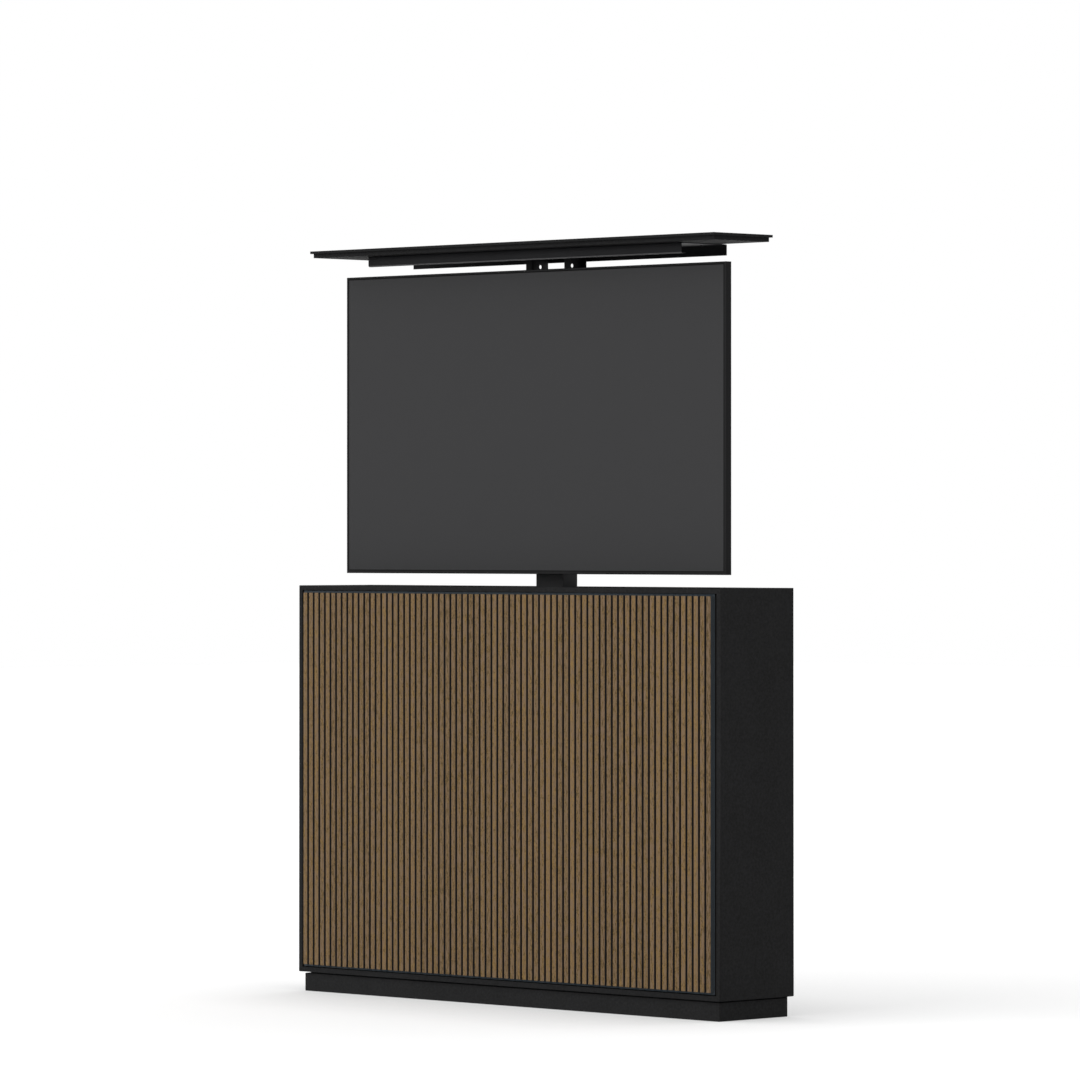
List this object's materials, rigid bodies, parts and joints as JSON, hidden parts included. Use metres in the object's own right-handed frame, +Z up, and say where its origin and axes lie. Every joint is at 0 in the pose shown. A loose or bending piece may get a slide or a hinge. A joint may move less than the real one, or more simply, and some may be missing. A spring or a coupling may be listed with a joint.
{
  "type": "tv lift cabinet",
  "caption": "Slim floor cabinet with a slatted front; a telescopic column raises the television and the lid above it.",
  "frame": {"origin": "on the floor below the middle of the object's box, with the lift raised", "axes": "+Z up, -Y the slatted front and the screen's side, +X the viewer's right"},
  "size_m": [1.4, 0.2502, 1.7801],
  "materials": {
    "black_lacquer": "matt black lacquer on board",
    "black_board": "black through-dyed board, unlacquered",
    "walnut_slats": "oiled walnut veneer slats on black board",
    "black_steel": "fine black powder coat",
    "zinc_steel": "bright zinc plate",
    "cast_aluminium": "as cast",
    "glide_plastic": "moulded black nylon",
    "housing_plastic": "finely textured black moulding",
    "screen_glass": "anti-glare dark screen, switched off"
  },
  "bodies": {
    "cabinet": {"side_panel_left": "black_lacquer", "side_panel_right": "black_lacquer", "bottom_panel": "black_lacquer", "top_panel": "black_lacquer", "back_panel": "black_board", "cable_grommet": "glide_plastic", "slatted_front_panel": "walnut_slats", "front_rail_top": "black_board", "front_cleat_bottom": "black_board", "front_cleat_left": "black_board", "front_cleat_right": "black_board", "plinth_front": "black_lacquer", "plinth_back": "black_lacquer", "plinth_left": "black_lacquer", "plinth_right": "black_lacquer", "plinth_brace_left": "black_board", "plinth_brace_right": "black_board", "column_base_plate": "black_steel", "base_bolt_1": "zinc_steel", "base_bolt_2": "zinc_steel", "base_bolt_3": "zinc_steel", "base_bolt_4": "zinc_steel", "gearbox_housing": "cast_aluminium", "lift_motor": "black_steel", "outer_column": "black_steel", "outer_glide_collar": "glide_plastic", "column_bracket_lower": "zinc_steel", "column_bracket_upper": "zinc_steel", "lift_control_box": "housing_plastic"},
    "middle_stage": {"middle_column": "black_steel", "middle_glide_collar": "glide_plastic", "middle_foot_nut": "glide_plastic"},
    "lift_head": {"inner_column": "black_steel", "inner_foot_nut": "glide_plastic", "head_bracket": "black_steel", "upright_left": "black_steel", "upright_right": "black_steel", "crossbar_lower": "black_steel", "crossbar_upper": "black_steel", "tv_arm_left": "black_steel", "tv_arm_right": "black_steel", "tv_mount_bolt_1": "zinc_steel", "tv_mount_bolt_2": "zinc_steel", "tv_mount_bolt_3": "zinc_steel", "tv_mount_bolt_4": "zinc_steel", "lid_board": "black_lacquer", "lid_channel": "black_steel", "tv_bezel": "housing_plastic", "tv_screen": "screen_glass", "tv_display_module": "housing_plastic", "tv_rear_cover": "housing_plastic"},
    "drive_spindle": {"drive_spindle": "zinc_steel"},
    "hollow_spindle": {"hollow_spindle": "zinc_steel"}
  },
  "joints": [
    {"name": "middle_slide", "type": "slide", "parent": "cabinet", "child": "middle_stage", "axis": [0, 0, 1], "range_m": [-0.4018, 0]},
    {"name": "head_slide", "type": "slide", "parent": "middle_stage", "child": "lift_head", "axis": [0, 0, 1], "range_m": [-0.4018, 0]},
    {"name": "drive_spindle_spin", "type": "hinge", "parent": "cabinet", "child": "drive_spindle", "pos_m": [0, 0.06065, 0.1], "axis": [0, 0, 1], "range_deg": [0, 18081]},
    {"name": "hollow_spindle_spin", "type": "hinge", "parent": "middle_stage", "child": "hollow_spindle", "pos_m": [0, 0.06065, 0.54], "axis": [0, 0, 1], "range_deg": [0, 18081]}
  ],
  "couplings": [
    {"joint": "head_slide", "follows": "middle_slide", "ratio": 1},
    {"joint": "drive_spindle_spin", "follows": "middle_slide", "rad_per_m": -785.4},
    {"joint": "hollow_spindle_spin", "follows": "middle_slide", "rad_per_m": -785.4}
  ]
}
